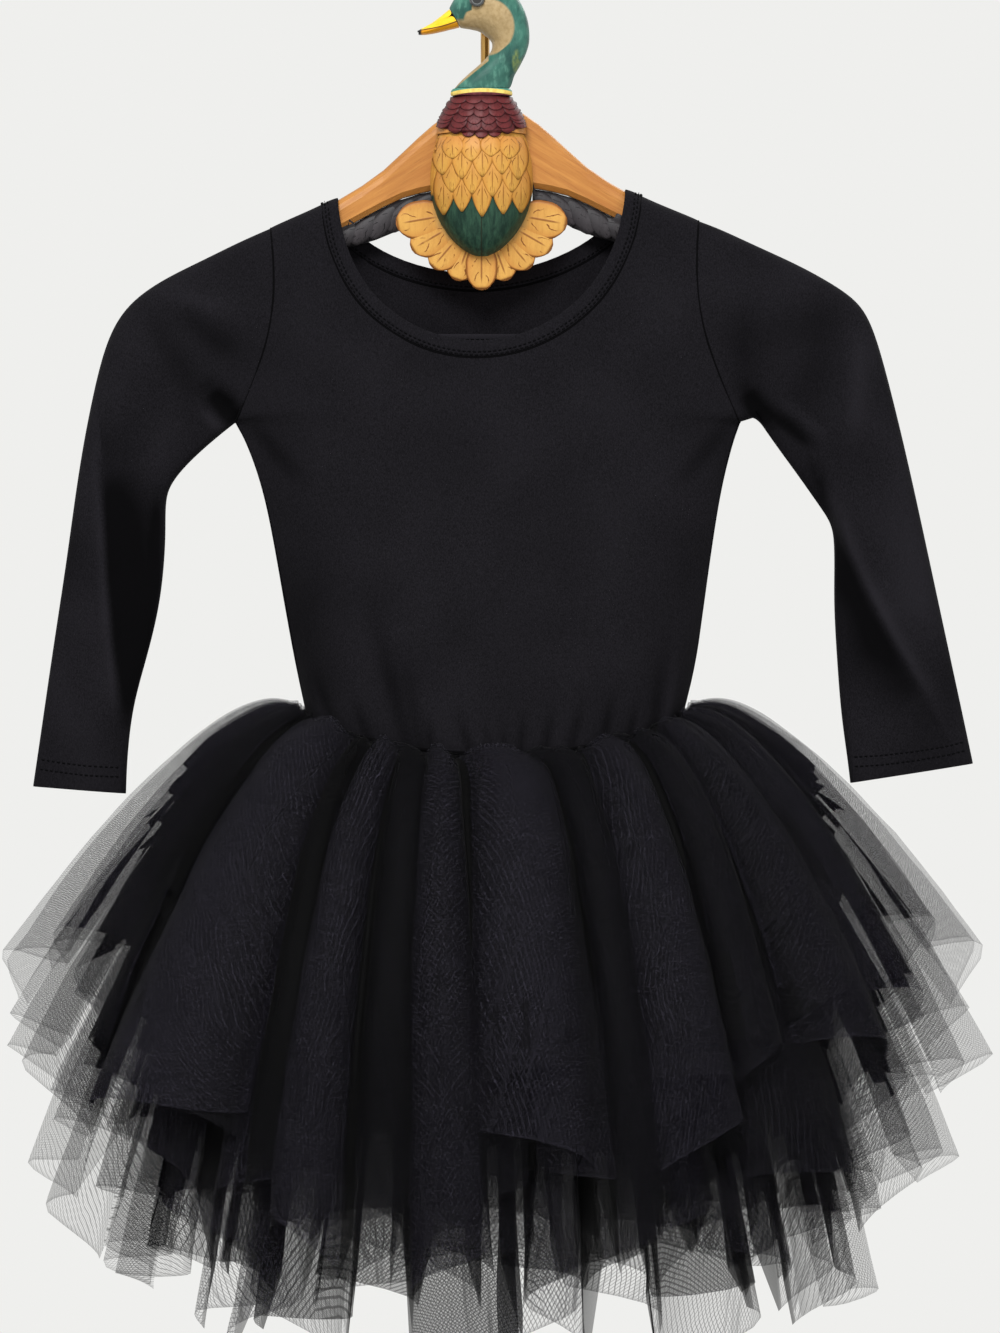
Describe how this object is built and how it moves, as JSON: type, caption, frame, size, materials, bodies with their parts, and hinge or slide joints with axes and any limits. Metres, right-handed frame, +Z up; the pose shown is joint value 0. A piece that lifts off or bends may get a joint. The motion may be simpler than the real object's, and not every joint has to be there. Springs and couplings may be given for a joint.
{
  "type": "child's ballet tutu dress on a wooden hanger",
  "caption": "Child's black long-sleeved ballet tutu with a scoop neck and layered gathered tulle skirt, hanging on a carved wooden duck hanger with a brass hook.",
  "frame": {"origin": "inside top of the hook, where it bears on its rail", "axes": "+Z up along the hanging garment; the front faces -Y; +X is the right side of the front view, the wearer's left"},
  "size_m": [0.5558, 0.3678, 0.818],
  "materials": {
    "black_jersey": "matte knitted jersey",
    "black_tulle": "sheer hexagonal net, matte",
    "warm_wood": "satin varnish over turned softwood",
    "ochre_paint": "satin paint on carved wood",
    "tan_feather_paint": "satin stain with painted lines on carved wood",
    "burgundy_paint": "satin paint on carved wood",
    "green_paint": "satin paint on carved wood",
    "yellow_paint": "satin paint on carved wood",
    "charcoal_paint": "worn satin paint on carved wood",
    "black_gloss": "glossy bead",
    "brass": "polished wire"
  },
  "bodies": {
    "root": {"bodice_front": "black_jersey", "bodice_back": "black_jersey", "neck_binding": "black_jersey", "back_inner_band": "black_jersey", "sleeve_left": "black_jersey", "sleeve_right": "black_jersey", "skirt_1_front": "black_tulle", "skirt_1_back": "black_tulle", "skirt_2_front": "black_tulle", "skirt_2_back": "black_tulle", "skirt_3_front": "black_tulle", "skirt_3_back": "black_tulle", "skirt_4_front": "black_tulle", "skirt_4_back": "black_tulle", "hanger_bar": "warm_wood", "hanger_feather_left": "charcoal_paint", "hanger_feather_right": "charcoal_paint", "duck_body": "ochre_paint", "duck_breast": "burgundy_paint", "duck_ring": "yellow_paint", "duck_neck": "green_paint", "duck_beak": "yellow_paint", "duck_eye_front": "black_gloss", "duck_eye_back": "black_gloss", "duck_tail": "tan_feather_paint", "hanger_hook": "brass"}
  },
  "joints": []
}
